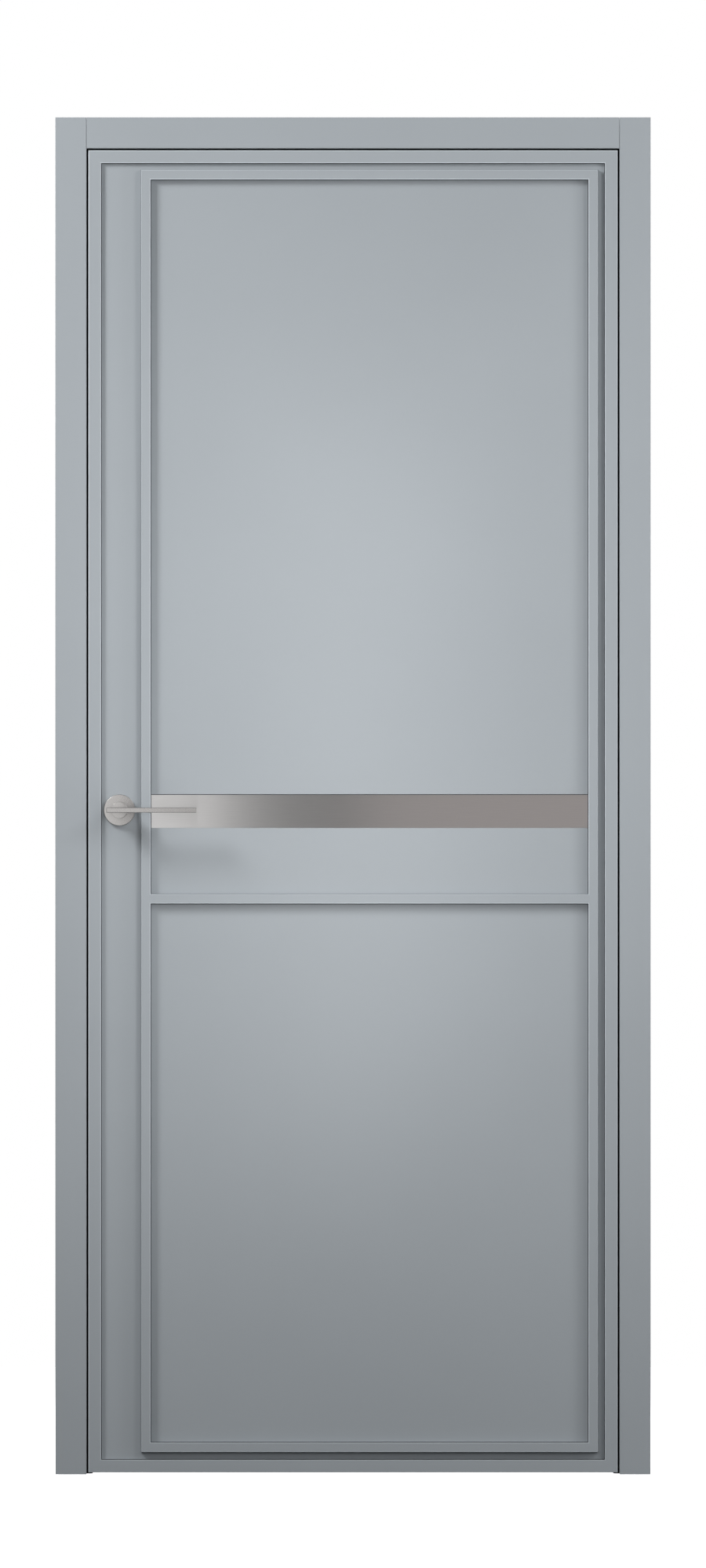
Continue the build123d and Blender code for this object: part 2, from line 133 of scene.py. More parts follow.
def spray_paint(name, floors=()):
    """Clouded grey with an uneven sheen and a fine ripple, with a painted highlight on the marked arrises.
    It is darkened with painted shade where Object y is the depth of a groove's floor."""
    finish, tree, shader = new_finish(name)
    arris_highlight_mask = tree.nodes.new("ShaderNodeAttribute")
    arris_highlight_mask.attribute_name = "arris_highlight"
    # Painted highlight: the paint is lightened on the marked arrises.
    colour = scale_brightness(tree, arris_highlight_mask.outputs["Fac"], shader.inputs["Base Color"], ARRIS_HIGHLIGHT_BRIGHTNESS)
    where = tree.nodes.new("ShaderNodeTexCoord")
    depth = tree.nodes.new("ShaderNodeSeparateXYZ")
    tree.links.new(where.outputs["Object"], depth.inputs["Vector"])
    for floor in floors:
        groove_shade_mask = tree.nodes.new("ShaderNodeMath")
        groove_shade_mask.operation = "COMPARE"
        groove_shade_mask.inputs[1].default_value = floor
        groove_shade_mask.inputs[2].default_value = FLOOR_TOLERANCE
        tree.links.new(depth.outputs["Y"], groove_shade_mask.inputs[0])
        # Painted shade: the paint is darkened on this groove's floor.
        colour = scale_brightness(tree, groove_shade_mask.outputs["Value"], colour, GROOVE_SHADE_BRIGHTNESS)
    clouds = noise_at(tree, CLOUD_PER_METRE, detail=3.0)
    sheen = noise_at(tree, SHEEN_PER_METRE, detail=2.0)
    ripple = noise_at(tree, RIPPLE_PER_METRE, detail=1.0)
    vary_colour(tree, clouds, colour, PAINT_GREY, CLOUD_SPREAD)
    vary_value(tree, sheen, shader.inputs["Roughness"], PAINT_ROUGHNESS, SHEEN_SPREAD)
    raise_relief(tree, ripple, shader, RIPPLE_HEIGHT)
    shader.inputs["Specular IOR Level"].default_value = PAINT_SPECULAR
    return finish


def dress(node, finish):
    """Gives a carried-over node its finish."""
    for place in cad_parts[node].material_slots:
        place.material = finish


grey_paint = spray_paint("satin_grey_paint")
for jamb in ("hinge_jamb", "lock_jamb", "head_jamb"):
    dress(jamb, grey_paint)


# Casings: flat painted boards round the opening, two full uprights with the head butted between them.
# Their long edges are eased by sanding, and a thin lipping closes the gap to the leaf to 3 mm.
FACES = ("front", "back")
LIPPING = 0.0012
CASING_EASING = 0.0009
END_EASING = 0.0003
BUTT_GAP = 0.0003
SANDED_TURN = np.radians([0.0, 12.0, 78.0, 90.0])


def rounded_outline(low, high, radii, turn=SANDED_TURN):
    """A rectangle's outline with part of an ellipse at each corner, whose centre is set in by the radii.
    The turn gives the angles that are kept of each quarter: a sanded arris is nearly flat across.
    The radii, one or a pair to a corner, go round from (high, high) by way of (low, high) to (high, low)."""
    low, high = np.array(low), np.array(high)
    radii = np.array(radii).reshape(4, -1) * np.ones(2)
    towards = np.array([(1, 1), (-1, 1), (-1, -1), (1, -1)])
    corners = np.where(towards > 0, high, low)
    centres = corners - towards * radii
    angle = np.arange(4)[:, None] * math.pi / 2 + turn[None, :]
    arc = np.stack([np.cos(angle), np.sin(angle)], axis=-1)
    return (centres[:, None, :] + radii[:, None, :] * arc).reshape(-1, 2)


def bar_rings(outline, start, end, easing, order):
    """The outline carried straight from start to end, drawn in towards its middle by the easing at each end.
    Order says which axes the outline's two numbers and the way along take, such as "xyz"."""
    steps = np.array([0.0, easing]) if easing else np.zeros(1)
    stations = np.concatenate([start + steps, end - steps[::-1]])
    drawn_in = np.concatenate([easing - steps, (easing - steps)[::-1]])
    middle = (outline.min(axis=0) + outline.max(axis=0)) / 2
    sections = outline[None] - np.sign(outline - middle)[None] * drawn_in[:, None, None]
    rings = np.empty((len(stations), len(outline), 3))
    rings[..., "xyz".index(order[0])] = sections[..., 0]
    rings[..., "xyz".index(order[1])] = sections[..., 1]
    rings[..., "xyz".index(order[2])] = stations[:, None]
    return rings


def skin(rings, closed=False):
    """Points and faces of a stack of equal closed rings: each ring joins the next by four-sided faces.
    The last ring joins the first if the stack is closed, and otherwise each end has one flat face."""
    count, around = rings.shape[:2]
    lanes = np.arange(count if closed else count - 1)[:, None]
    here = np.arange(around)[None, :]
    there = (here + 1) % around
    this_ring = lanes * around
    next_ring = (lanes + 1) % count * around
    quads = np.stack([this_ring + here, this_ring + there, next_ring + there, next_ring + here], axis=-1)
    faces = quads.reshape(-1, 4).tolist()
    if not closed:
        faces.append(list(range(around)))
        faces.append(list(range((count - 1) * around, count * around)))
    return rings.reshape(-1, 3), faces


def make_piece(name, shells, finish, body, smooth_angle=None, arris_highlight=None):
    """One piece from one or more shells of points and faces, turned to face outwards, and riding on its body.
    Edges that bend less than the smooth angle, in degrees, are shaded smooth. The array of arris highlights,
    where a piece has one, says how strong a painted highlight each face gets."""
    points = np.concatenate([shell[0] for shell in shells])
    starts = np.cumsum([0] + [len(shell[0]) for shell in shells[:-1]]).tolist()
    faces = [[start + corner for corner in face] for start, shell in zip(starts, shells) for face in shell[1]]
    mesh = bpy.data.meshes.new(name)
    mesh.from_pydata(points.tolist(), [], faces)
    turned = bmesh.new()
    turned.from_mesh(mesh)
    bmesh.ops.recalc_face_normals(turned, faces=turned.faces)
    turned.to_mesh(mesh)
    turned.free()
    if smooth_angle:
        mesh.shade_smooth()
        mesh.set_sharp_from_angle(angle=math.radians(smooth_angle))
    if arris_highlight is not None:
        mesh.attributes.new("arris_highlight", "FLOAT", "FACE").data.foreach_set("value", arris_highlight)
    mesh.materials.append(finish)
    piece = bpy.data.objects.new(name, mesh)
    bpy.context.scene.collection.objects.link(piece)
    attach(piece, body)
    return piece


for face in FACES:
    radii = [CASING_EASING] * 4
    inner_edges = []
    for side, inner, out_to_leaf in (("lock_side", 1, LIPPING), ("hinge_side", 0, -LIPPING)):
        low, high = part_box(f"{face}_casing_{side}")
        x_span = [low[0], high[0]]
        x_span[inner] += out_to_leaf
        inner_edges.append(x_span[inner])
        outline = rounded_outline((x_span[0], low[1]), (x_span[1], high[1]), radii)
        upright = make_piece(
            f"{face}_casing_board_{side}",
            [skin(bar_rings(outline, low[2], high[2], END_EASING, "xyz"))],
            grey_paint,
            "door_frame",
        )
        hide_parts(f"{face}_casing_{side}")
    low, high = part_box(f"{face}_casing_head")
    outline = rounded_outline((low[1], low[2] - LIPPING), (high[1], high[2]), radii)
    head = make_piece(
        f"{face}_casing_board_head",
        [skin(bar_rings(outline, inner_edges[0] + BUTT_GAP, inner_edges[1] - BUTT_GAP, END_EASING, "yzx"))],
        grey_paint,
        "door_frame",
    )
    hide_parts(f"{face}_casing_head")


# Stop seals: an extruded hollow seal of black rubber, pressed into the stops up both sides and over the head.
# Its bulb swells towards the leaf from a flat foot as wide as the stop, and its corners are mitred.
SEAL_WIDTH = 0.009
SEAL_BULB = 0.0044
SEAL_FOOT = 0.0014
SEAL_FULLNESS = 0.7
SEAL_STEPS = 16
SEAL_SMOOTH_ANGLE = 40.0
RUBBER_BLACK = (0.010, 0.010, 0.011)
RUBBER_ROUGHNESS = 0.62
RUBBER_CLOUD_PER_METRE = 60.0
RUBBER_CLOUD_SPREAD = 0.2
RUBBER_SHEEN_PER_METRE = 90.0
RUBBER_SHEEN_SPREAD = 0.08
RUBBER_GRAIN_PER_METRE = 1500.0
RUBBER_GRAIN_HEIGHT = 0.00002


def seal_rubber():
    """Clouded black with an uneven, dull sheen and the fine grain of an extrusion."""
    finish, tree, shader = new_finish("black_seal_rubber")
    clouds = noise_at(tree, RUBBER_CLOUD_PER_METRE, detail=3.0)
    sheen = noise_at(tree, RUBBER_SHEEN_PER_METRE, detail=2.0)
    grain = noise_at(tree, RUBBER_GRAIN_PER_METRE, detail=1.0)
    vary_colour(tree, clouds, shader.inputs["Base Color"], RUBBER_BLACK, RUBBER_CLOUD_SPREAD)
    vary_value(tree, sheen, shader.inputs["Roughness"], RUBBER_ROUGHNESS, RUBBER_SHEEN_SPREAD)
    raise_relief(tree, grain, shader, RUBBER_GRAIN_HEIGHT)
    return finish


def seal_section(width, foot, bulb):
    """Across the seal: a flat foot with upright sides, and on it half a sine wave as high as the bulb.
    The wave is raised to the power of the fullness, which makes its flanks steeper."""
    across = np.linspace(0.0, width, SEAL_STEPS)
    crown = np.stack([across, foot + bulb * np.sin(math.pi * across / width) ** SEAL_FULLNESS], axis=-1)
    base = np.array([(width, 0.0), (0.0, 0.0)])
    return np.concatenate([crown, base])


def mitred_run(outline, corners, inwards):
    """The outline, given as (in from the edge, depth), carried along straight stretches between corners.
    At each corner the way in from the edge is a step along x and a step along z, both equal on a mitre."""
    rings = np.empty((len(corners), len(outline), 3))
    rings[..., 0] = corners[:, :1] + inwards[:, :1] * outline[None, :, 0]
    rings[..., 1] = outline[None, :, 1]
    rings[..., 2] = corners[:, 1:] + inwards[:, 1:] * outline[None, :, 0]
    return rings


def run_over(low, high):
    """Corners, and ways in from them, up the low side of a rectangle, over its top and down its high side."""
    corners = np.array([(low[0], low[2]), (low[0], high[2]), (high[0], high[2]), (high[0], low[2])])
    inwards = np.array([(1, 0), (1, -1), (-1, -1), (-1, 0)])
    return corners, inwards


low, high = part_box("stop_seals")
section = seal_section(SEAL_WIDTH, SEAL_FOOT, SEAL_BULB)
section[:, 1] = high[1] - section[:, 1]
seal = make_piece(
    "stop_seal_loop",
    [skin(mitred_run(section, *run_over(low, high)))],
    seal_rubber(),
    "door_frame",
    SEAL_SMOOTH_ANGLE,
)
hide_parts("stop_seals")


# Strike plate: stamped steel with a satin brushed face, let into the lock jamb and held by two screws.
# The screws are countersunk, with a cross recess, and the upper one sits below the opening for the latch.
HARDWARE_STEEL = (0.56, 0.55, 0.54)
HARDWARE_ROUGHNESS = 0.36
BRUSH_PER_METRE = 2600.0
BRUSH_STRETCH = (1.0, 1.0, 60.0)
BRUSH_COLOUR_SPREAD = 0.08
BRUSH_SHEEN_SPREAD = 0.07
BRUSH_HEIGHT = 0.000002
SCREW_RADIUS = 0.0036
SCREW_STEPS = 48
SCREW_SMOOTH_ANGLE = 40.0
HEAD_RADII = (0.96, 1.0, 0.93)
HEAD_HEIGHTS = (-0.0006, 0.0001, 0.0003)
CROSS_RADIUS = 0.34
CROSS_SWING = 0.2
CROSS_SQUARING = 0.05
CROSS_TAPER = 0.55
CROSS_FLOOR = -0.0009
SCREW_INSET = 0.012
STRIKE_SCREW_DROP = 0.053


def brushed_hardware():
    """Steel with fine upright grain, which varies its colour, its sheen and its relief together."""
    finish, tree, shader = new_finish("brushed_hardware_steel")
    grain = noise_at(tree, BRUSH_PER_METRE, detail=2.0, stretch=BRUSH_STRETCH)
    vary_colour(tree, grain, shader.inputs["Base Color"], HARDWARE_STEEL, BRUSH_COLOUR_SPREAD)
    vary_value(tree, grain, shader.inputs["Roughness"], HARDWARE_ROUGHNESS, BRUSH_SHEEN_SPREAD)
    raise_relief(tree, grain, shader, BRUSH_HEIGHT)
    shader.inputs["Metallic"].default_value = 1.0
    return finish


def screw_head(centre, facing):
    """A countersunk head as a stack of rings: the rim, an eased edge, the flat, and a cross recess below it.
    The recess's radius swings four times round between its arms and its corners, and a swing of eight times
    round squares the arms. Radii are shares of the head's. Facing is the angle about z that it looks along."""
    angle = np.linspace(0.0, 2 * math.pi, SCREW_STEPS, endpoint=False)
    cross = CROSS_RADIUS + CROSS_SWING * np.cos(4 * angle) + CROSS_SQUARING * np.cos(8 * angle)
    discs = np.array(HEAD_RADII)[:, None] * np.ones(SCREW_STEPS)
    radii = np.concatenate([discs, [cross, CROSS_TAPER * cross]]) * SCREW_RADIUS
    heights = np.array([*HEAD_HEIGHTS, HEAD_HEIGHTS[-1], CROSS_FLOOR])[:, None]
    sideways = radii * np.cos(angle)
    rings = np.empty((len(heights), SCREW_STEPS, 3))
    rings[..., 0] = centre[0] + heights * math.cos(facing) - sideways * math.sin(facing)
    rings[..., 1] = centre[1] + heights * math.sin(facing) + sideways * math.cos(facing)
    rings[..., 2] = centre[2] + radii * np.sin(angle)
    return skin(rings)


hardware_steel = brushed_hardware()
dress("strike_plate", hardware_steel)
low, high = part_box("strike_plate")
middle_y = (low[1] + high[1]) / 2
heights = (low[2] + SCREW_INSET, high[2] - STRIKE_SCREW_DROP)
screws = [screw_head((high[0], middle_y, height), 0.0) for height in heights]
make_piece("strike_plate_screws", screws, hardware_steel, "door_frame", SCREW_SMOOTH_ANGLE)


# Leaf slab: a board-faced core in a timber frame, planed to size and sprayed like the jambs.
# Its lock edge is bevelled so that it clears the jamb as the leaf swings. Painted shade darkens the floors of
# its quirks, the fine grooves beside the bars, and the floor of the seat round the metal inlay.
floors = []
for face, foot in (("front", 1), ("back", 0)):
    floors += [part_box(f"{face}_{node}")[foot][1] for node in ("slim_bar_top", "metal_inlay")]
dress("leaf_slab", spray_paint("satin_grey_leaf_paint", floors))


# Borders: a flat raised rim round each face of the leaf, four bars mitred at the corners.
# They are glued on, filled and painted with the slab, and their lipping stands out past its edges.
# The painted highlight on the arrises is a pair for each bar, of its outer and its inner edge: bottom,
# hinge side, top and lock side.
ARRIS_ACROSS = 0.0011
ARRIS_DEEP = 0.0005
ARRIS_TOLERANCE = 0.01
FOOT_EASING = 0.0002
BORDER_ARRIS_HIGHLIGHT = ((0.4, 0.0), (0.35, 0.4), (0.55, 0.65), (0.6, 0.45))


def box_round(bars):
    """The lowest and highest corners of a set of bars."""
    corners = np.array([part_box(bar) for bar in bars])
    return corners[:, 0].min(axis=0), corners[:, 1].max(axis=0)


def foot_and_crown(face, low, high):
    """The depths of what lies against the leaf and of what looks out from it. The front looks along -y."""
    return (high[1], low[1]) if face == "front" else (low[1], high[1])


def mitred_loop(outline, low, high):
    """The outline, given as (in from the edge, depth), carried round a rectangle, mitred at its corners."""
    corners = np.array([(low[0], low[2]), (high[0], low[2]), (high[0], high[2]), (low[0], high[2])])
    inwards = np.array([(1, 1), (-1, 1), (-1, -1), (1, -1)])
    return skin(mitred_run(outline, corners, inwards), closed=True)


def raised_outline(width, foot, crown):
    """A bar's section: square at its foot against the slab, and eased on both edges of its crown."""
    eased = (ARRIS_ACROSS, ARRIS_DEEP)
    square = (FOOT_EASING, FOOT_EASING)
    upper, lower = (eased, square) if crown > foot else (square, eased)
    return rounded_outline((0.0, min(foot, crown)), (width, max(foot, crown)), [upper, upper, lower, lower])


def arris_highlight_faces(outline, crown, highlight_shares, end_faces=0):
    """How strong a painted highlight each side face gets: that edge's share on the crown's two sloping
    arrises.
    0 elsewhere. Each stretch of the bar has a pair of shares, for its outer and its inner edge. End faces get
    0."""
    depth = np.abs(outline[:, 1] - crown)
    next_depth = np.roll(depth, -1)
    shallow = np.maximum(depth, next_depth) <= ARRIS_DEEP * (1 + ARRIS_TOLERANCE)
    sloping = np.abs(depth - next_depth) > ARRIS_DEEP * ARRIS_TOLERANCE
    outer = outline[:, 0] < outline[:, 0].mean()
    highlight_shares = np.array(highlight_shares)
    highlighted = np.where(outer, highlight_shares[:, :1], highlight_shares[:, 1:]) * (shallow & sloping)
    return np.concatenate([highlighted.ravel(), np.zeros(end_faces)])


for face in FACES:
    bars = [f"{face}_border_{side}" for side in ("left", "right", "top", "bottom")]
    low, high = box_round(bars)
    top_low, top_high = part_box(f"{face}_border_top")
    foot, crown = foot_and_crown(face, low, high)
    outline = raised_outline(top_high[2] - top_low[2] + LIPPING, foot, crown)
    outer_low = (low[0] - LIPPING, low[1], low[2])
    outer_high = (high[0] + LIPPING, high[1], high[2] + LIPPING)
    border = make_piece(
        f"{face}_border",
        [mitred_loop(outline, outer_low, outer_high)],
        grey_paint,
        "door_leaf",
        arris_highlight=arris_highlight_faces(outline, crown, BORDER_ARRIS_HIGHLIGHT),
    )
    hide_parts(*bars)


# Slim frames: four square-edged bars mitred round the wide panel, with a middle rail between the sides.
# They stand a little higher than the border, and their arrises are sanded just enough to hold the paint.
# Painted highlight on the arrises: a pair for each bar, as on the border, and one pair for the middle rail.
FRAME_ARRIS_HIGHLIGHT = ((1.0, 0.0), (0.2, 0.65), (0.25, 0.9), (0.15, 0.55))
RAIL_ARRIS_HIGHLIGHT = ((0.65, 0.1),)
for face in FACES:
    bars = [f"{face}_slim_bar_{side}" for side in ("left", "right", "top", "bottom")]
    low, high = box_round(bars)
    top_low, top_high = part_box(f"{face}_slim_bar_top")
    foot, crown = foot_and_crown(face, low, high)
    outline = raised_outline(top_high[2] - top_low[2], foot, crown)
    slim = make_piece(
        f"{face}_slim_frame",
        [mitred_loop(outline, low, high)],
        grey_paint,
        "door_leaf",
        arris_highlight=arris_highlight_faces(outline, crown, FRAME_ARRIS_HIGHLIGHT),
    )
    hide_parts(*bars)
    rail_low, rail_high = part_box(f"{face}_middle_rail")
    outline = raised_outline(rail_high[2] - rail_low[2], foot, crown) + (rail_low[2], 0.0)
    rail = make_piece(
        f"{face}_middle_bar",
        [skin(bar_rings(outline, rail_low[0], rail_high[0], 0.0, "zyx"))],
        grey_paint,
        "door_leaf",
        arris_highlight=arris_highlight_faces(outline, crown, RAIL_ARRIS_HIGHLIGHT, end_faces=2),
    )
    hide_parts(f"{face}_middle_rail")


# Metal inlays: a strip of satin stainless steel let 1 mm below each face at handle height, and glued.
# It is brushed along its length, so its grain runs sideways.
INLAY_STEEL = (0.66, 0.65, 0.645)
INLAY_ROUGHNESS = 0.36
INLAY_BLUR_UPRIGHT = 0.9
INLAY_GRAIN_PER_METRE = 3000.0
INLAY_GRAIN_STRETCH = (120.0, 1.0, 1.0)
INLAY_GRAIN_HEIGHT = 0.000001
INLAY_COLOUR_SPREAD = 0.04
INLAY_SHEEN_SPREAD = 0.05


def inlay_steel():
    """Steel with fine grain along x, which spreads what it mirrors up and down much more than sideways."""
    finish, tree, shader = new_finish("satin_inlay_steel")
    upright = tree.nodes.new("ShaderNodeVectorTransform")
    upright.convert_from = "OBJECT"
    upright.convert_to = "WORLD"
    upright.inputs["Vector"].default_value = (0.0, 0.0, 1.0)
    tree.links.new(upright.outputs["Vector"], shader.inputs["Tangent"])
    shader.inputs["Anisotropic"].default_value = INLAY_BLUR_UPRIGHT
    grain = noise_at(tree, INLAY_GRAIN_PER_METRE, detail=2.0, stretch=INLAY_GRAIN_STRETCH)
    vary_colour(tree, grain, shader.inputs["Base Color"], INLAY_STEEL, INLAY_COLOUR_SPREAD)
    vary_value(tree, grain, shader.inputs["Roughness"], INLAY_ROUGHNESS, INLAY_SHEEN_SPREAD)
    raise_relief(tree, grain, shader, INLAY_GRAIN_HEIGHT)
    shader.inputs["Metallic"].default_value = 1.0
    return finish


satin_strip = inlay_steel()
for face in FACES:
    dress(f"{face}_metal_inlay", satin_strip)


# Lock: the forend plate of a mortice lock, held in the leaf's bevelled edge by two screws, and its sprung
# latch bolt. Both are steel, brushed along their length.
for node in ("lock_forend", "latch_bolt"):
    dress(node, hardware_steel)
front_low, front_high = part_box("front_border_left")
back_low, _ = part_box("back_border_left")
bevel = math.atan2(back_low[0] - front_low[0], back_low[1] - front_high[1])
edge_x = (front_low[0] + back_low[0]) / 2
edge_y = (front_high[1] + back_low[1]) / 2
low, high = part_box("lock_forend")
heights = (low[2] + SCREW_INSET, high[2] - SCREW_INSET)
screws = [screw_head((edge_x, edge_y, height), math.pi - bevel) for height in heights]
make_piece("lock_forend_screws", screws, hardware_steel, "door_leaf", SCREW_SMOOTH_ANGLE)


# Hinges: three concealed hinges, each with a cup let into the jamb, one let into the leaf, and a curved arm.
# The cups are cast metal with a satin finish, held by four screws each. The arms are blackened steel.
HINGE_COUNT = 3
CUP_HEIGHT = 0.110
CUP_SCREW_RISE = 0.042
CUP_SCREW_SPREAD = 0.006
BLACKENED_STEEL = (0.035, 0.036, 0.038)
BLACKENED_ROUGHNESS = 0.5
SCALE_CLOUD_PER_METRE = 220.0
SCALE_CLOUD_SPREAD = 0.25
SCALE_SHEEN_PER_METRE = 500.0
SCALE_SHEEN_SPREAD = 0.1
SCALE_GRAIN_PER_METRE = 900.0
SCALE_GRAIN_HEIGHT = 0.00001


def blackened_steel():
    """Nearly black steel whose scale clouds its colour, dulls its sheen unevenly and leaves a fine grain."""
    finish, tree, shader = new_finish("blackened_hinge_steel")
    clouds = noise_at(tree, SCALE_CLOUD_PER_METRE, detail=3.0)
    sheen = noise_at(tree, SCALE_SHEEN_PER_METRE, detail=2.0)
    grain = noise_at(tree, SCALE_GRAIN_PER_METRE, detail=2.0)
    vary_colour(tree, clouds, shader.inputs["Base Color"], BLACKENED_STEEL, SCALE_CLOUD_SPREAD)
    vary_value(tree, sheen, shader.inputs["Roughness"], BLACKENED_ROUGHNESS, SCALE_SHEEN_SPREAD)
    raise_relief(tree, grain, shader, SCALE_GRAIN_HEIGHT)
    shader.inputs["Metallic"].default_value = 1.0
    return finish


for node, body, facing in (("hinge_jamb_cups", "door_frame", math.pi), ("hinge_leaf_cups", "door_leaf", 0.0)):
    dress(node, hardware_steel)
    low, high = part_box(node)
    face_x = low[0] if body == "door_frame" else high[0]
    middle_y = (low[1] + high[1]) / 2
    heights = np.linspace(low[2] + CUP_HEIGHT / 2, high[2] - CUP_HEIGHT / 2, HINGE_COUNT)
    screws = [
        screw_head((face_x, middle_y + across * CUP_SCREW_SPREAD, height + along * CUP_SCREW_RISE), facing)
        for height in heights
        for along in (-1, 1)
        for across in (-1, 1)
    ]
    make_piece(f"{node}_screws", screws, hardware_steel, body, SCREW_SMOOTH_ANGLE)
dress("hinge_arms", blackened_steel())


# Handles: on each face a round rose, a turned neck, and a flat bar lever across the end of the neck.
# They are solid metal with a satin nickel finish, and one square spindle joins the two sides.
NICKEL = (0.38, 0.369, 0.362)
NICKEL_ROUGHNESS = 0.30
NICKEL_CLOUD_PER_METRE = 35.0
NICKEL_CLOUD_SPREAD = 0.03
NICKEL_GRAIN_PER_METRE = 1800.0
NICKEL_SHEEN_SPREAD = 0.06
NICKEL_GRAIN_HEIGHT = 0.000002
ROSE_EASING = 0.0007
NECK_EASING = 0.0004
LEVER_EASING = 0.0009
LEVER_END_EASING = 0.00054
ROUND_TURN = np.linspace(0.0, math.pi / 2, 6)
TURN_STEPS = 128
TURNED_SMOOTH_ANGLE = 30.0


def satin_nickel():
    """Slightly clouded metal with the fine, even grain of a satin plating, in its sheen and its relief."""
    finish, tree, shader = new_finish("satin_nickel")
    clouds = noise_at(tree, NICKEL_CLOUD_PER_METRE, detail=2.0)
    grain = noise_at(tree, NICKEL_GRAIN_PER_METRE, detail=2.0)
    vary_colour(tree, clouds, shader.inputs["Base Color"], NICKEL, NICKEL_CLOUD_SPREAD)
    vary_value(tree, grain, shader.inputs["Roughness"], NICKEL_ROUGHNESS, NICKEL_SHEEN_SPREAD)
    raise_relief(tree, grain, shader, NICKEL_GRAIN_HEIGHT)
    shader.inputs["Metallic"].default_value = 1.0
    return finish


def turned_rings(axis_x, axis_z, radii, depths):
    """A turned shape: circles about an axis along y, each with its own radius at its own depth."""
    angle = np.linspace(0.0, 2 * math.pi, TURN_STEPS, endpoint=False)
    rings = np.empty((len(radii), TURN_STEPS, 3))
    rings[..., 0] = axis_x + radii[:, None] * np.cos(angle)
    rings[..., 1] = depths[:, None]
    rings[..., 2] = axis_z + radii[:, None] * np.sin(angle)
    return rings


def eased_disc(radius, foot, crown, easing):
    """Radii and depths of a disc with a quarter-round edge at its crown."""
    out = math.copysign(1.0, crown - foot)
    radii = np.concatenate([[radius], radius - easing * (1 - np.cos(ROUND_TURN))])
    depths = np.concatenate([[foot], crown - out * easing * (1 - np.sin(ROUND_TURN))])
    return radii, depths


nickel = satin_nickel()
for face in FACES:
    low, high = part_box(f"{face}_rose")
    axis_x = (low[0] + high[0]) / 2
    axis_z = (low[2] + high[2]) / 2
    turned_parts = (
        ("rose", "rose_disc", "door_leaf", ROSE_EASING),
        ("lever_neck", "lever_stem", "lever_set", NECK_EASING),
    )
    for node, name, body, easing in turned_parts:
        low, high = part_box(f"{face}_{node}")
        disc = eased_disc((high[0] - low[0]) / 2, *foot_and_crown(face, low, high), easing)
        rings = turned_rings(axis_x, axis_z, *disc)
        part = make_piece(f"{face}_{name}", [skin(rings)], nickel, body, TURNED_SMOOTH_ANGLE)
        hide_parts(f"{face}_{node}")

    low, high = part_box(f"{face}_lever_bar")
    outline = rounded_outline((low[1], low[2]), (high[1], high[2]), [LEVER_EASING] * 4, ROUND_TURN)
    rings = bar_rings(outline, low[0], high[0], LEVER_END_EASING, "yzx")
    bar = make_piece(f"{face}_lever_grip", [skin(rings)], nickel, "lever_set")
    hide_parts(f"{face}_lever_bar")
dress("spindle", hardware_steel)


# Studio floor: a sheet of pale paper under the door, bright enough that the camera sees it as white.
# It lights nothing and doesn't show in the metal.
FLOOR_HALF = 6.0
PAPER_PALE = (0.80, 0.80, 0.80)
PAPER_ROUGHNESS = 0.9
PAPER_CLOUD_PER_METRE = 1.5
PAPER_CLOUD_SPREAD = 0.01
PAPER_GLOW = 1.0


def floor_paper():
    """Pale, faintly clouded matt paper with a glow of its own."""
    finish, tree, shader = new_finish("pale_floor_paper")
    clouds = noise_at(tree, PAPER_CLOUD_PER_METRE, detail=2.0)
    vary_colour(tree, clouds, shader.inputs["Base Color"], PAPER_PALE, PAPER_CLOUD_SPREAD)
    shader.inputs["Roughness"].default_value = PAPER_ROUGHNESS
    shader.inputs["Emission Color"].default_value = (1.0, 1.0, 1.0, 1.0)
    shader.inputs["Emission Strength"].default_value = PAPER_GLOW
    return finish


edge = np.array([(-1, -1, 0), (1, -1, 0), (1, 1, 0), (-1, 1, 0)]) * FLOOR_HALF
floor_mesh = bpy.data.meshes.new("studio_floor")
floor_mesh.from_pydata(edge.tolist(), [], [(0, 1, 2, 3)])
floor_mesh.materials.append(floor_paper())
floor = bpy.data.objects.new("studio_floor", floor_mesh)
floor.visible_diffuse = False
floor.visible_glossy = False
bpy.context.scene.collection.objects.link(floor)


# Studio light: a softbox and a tall strip light at each side, and a strip light and a softbox in front.
# Two cards on each side of the door show in its gloss alone. Behind it, two more softboxes light its back.
DOOR_X = -0.4382
FRONT_Y = -0.058
CARD_HEIGHT = 1.0
CARDS = (
    ("left_card", -0.59, 1.0, (0.76, 1.3), 3.5, (1.0, 1.0, 1.0)),
    ("right_card", 0.565, 0.7, (1.1, 1.0), 0.82, (1.0, 0.85, 0.82)),
)


def softbox(name, place, size, watts, colour=(1.0, 1.0, 1.0), target=(0.0, 0.0, 1.1)):
    """A rectangular soft light that faces its target.
    Places are right of the door's middle, out in front of its face, and up from the floor."""
    light = bpy.data.lights.new(name, "AREA")
    light.shape = "RECTANGLE"
    light.size, light.size_y = size
    light.energy = watts
    light.color = colour
    lamp = bpy.data.objects.new(name, light)
    lamp.location = (DOOR_X + place[0], FRONT_Y - place[1], place[2])
    aim = Vector((DOOR_X + target[0], FRONT_Y - target[1], target[2])) - lamp.location
    lamp.rotation_euler = aim.to_track_quat("-Z", "Y").to_euler()
    lamp.visible_camera = False
    bpy.context.scene.collection.objects.link(lamp)
    return lamp


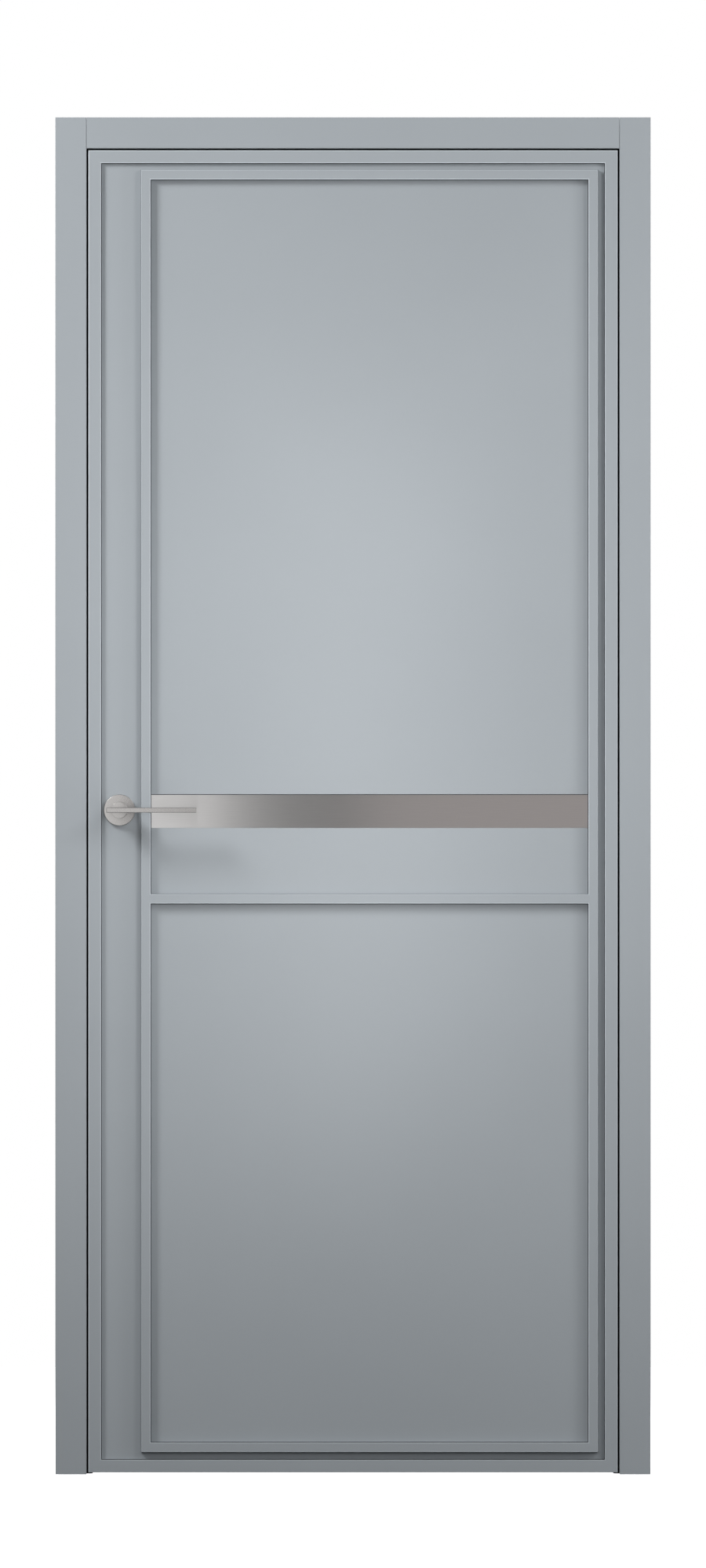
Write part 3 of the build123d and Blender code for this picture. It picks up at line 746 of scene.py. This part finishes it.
softbox("left_softbox", place=(-2.4, 1.6, 3.4), size=(1.0, 1.0), watts=99.0)
softbox("right_softbox", place=(2.2, 2.2, 2.8), size=(1.0, 1.0), watts=29.9)
softbox("left_strip_light", place=(-1.3, 0.45, 1.5), size=(0.3, 1.2), watts=1.46)
softbox("right_strip_light", place=(1.6, 0.6, 1.2), size=(0.4, 2.0), watts=12.0)
front_lights = (
    softbox("near_front_strip", (-0.02, 0.45, 1.1), (0.15, 1.1), watts=1.73, target=(-0.02, 0.0, 1.1)),
    softbox("far_front_softbox", (0.0, 4.0, 1.4), (1.5, 1.5), watts=26.8),
)
for lamp in front_lights:
    lamp.visible_glossy = False
for side, out in (("front", 1.0), ("back", -1.0)):
    for name, right, distance, size, watts, tint in CARDS:
        place = (right, distance * out, CARD_HEIGHT)
        card = softbox(f"{side}_{name}", place, size, watts, tint, target=(right, 0.0, CARD_HEIGHT))
        card.visible_diffuse = False
softbox("back_left_softbox", place=(-1.8, -2.2, 2.6), size=(1.2, 1.2), watts=75.0)
softbox("back_right_softbox", place=(1.8, -2.2, 2.6), size=(1.2, 1.2), watts=75.0)


# Surround: white paper on all sides, which the camera sees as white.
# It adds a little light to the paint, and shows grey in the metal.
PAPER_WHITE = (1.0, 1.0, 1.0, 1.0)
LIGHT_FROM_SURROUND = 0.10
SHINE_OF_SURROUND = 0.24
SURROUND_TO_CAMERA = 1.0
world = bpy.data.worlds.new("studio_surround")
bpy.context.scene.world = world
world.use_nodes = True
tree = world.node_tree
ray = tree.nodes.new("ShaderNodeLightPath")
surround = tree.nodes["Background"]
surround.inputs["Color"].default_value = PAPER_WHITE
surround.inputs["Strength"].default_value = LIGHT_FROM_SURROUND
for seen_by, strength in (("Is Glossy Ray", SHINE_OF_SURROUND), ("Is Camera Ray", SURROUND_TO_CAMERA)):
    layer = tree.nodes.new("ShaderNodeBackground")
    layer.inputs["Color"].default_value = PAPER_WHITE
    layer.inputs["Strength"].default_value = strength
    choice = tree.nodes.new("ShaderNodeMixShader")
    tree.links.new(ray.outputs[seen_by], choice.inputs["Fac"])
    tree.links.new(surround.outputs[0], choice.inputs[1])
    tree.links.new(layer.outputs[0], choice.inputs[2])
    surround = choice
tree.links.new(surround.outputs[0], tree.nodes["World Output"].inputs["Surface"])
bpy.context.scene.view_settings.view_transform = "Standard"


# Camera: square on to the door and far away, so that its edges stay parallel as in the photo.
# Its distance comes from the height of the view at the door's face and from the lens.
IMAGE_HEIGHT_PX = 2000
METRES_PER_PX = 0.001186
VIEW_MIDDLE_Z = 1.0445
LENS = 500.0
SENSOR = 36.0
CAMERA_REACH = 200.0
lens = bpy.data.cameras.new("camera")
lens.lens = LENS
lens.sensor_width = SENSOR
lens.clip_end = CAMERA_REACH
camera = bpy.data.objects.new("camera", lens)
camera.location = (DOOR_X, FRONT_Y - IMAGE_HEIGHT_PX * METRES_PER_PX * LENS / SENSOR, VIEW_MIDDLE_Z)
camera.rotation_euler = (math.pi / 2, 0, 0)
bpy.context.scene.collection.objects.link(camera)
bpy.context.scene.camera = camera
